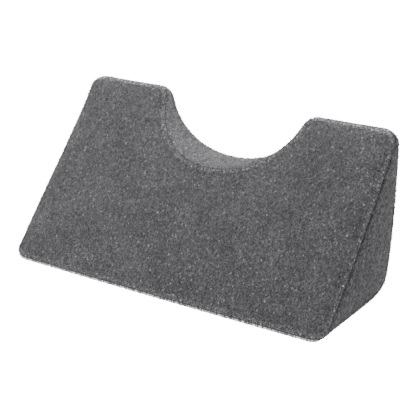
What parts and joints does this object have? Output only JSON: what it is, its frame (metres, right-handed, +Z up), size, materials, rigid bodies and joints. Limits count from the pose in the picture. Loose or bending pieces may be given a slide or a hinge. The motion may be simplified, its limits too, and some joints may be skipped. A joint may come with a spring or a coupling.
{
  "type": "cervical traction pillow",
  "caption": "Wedge-shaped foam neck pillow in a tight grey plush cover, with a round neck notch in the high edge of its sloping face.",
  "frame": {"origin": "middle of the flat base, on the surface that the pillow stands on", "axes": "+X along the width, +Y from the toe to the upright back, so the sloping face looks to -Y and up, +Z up"},
  "size_m": [0.3382, 0.139, 0.159],
  "materials": {
    "plush": "matt short-pile plush"
  },
  "bodies": {
    "root": {"pillow": "plush"}
  },
  "joints": []
}
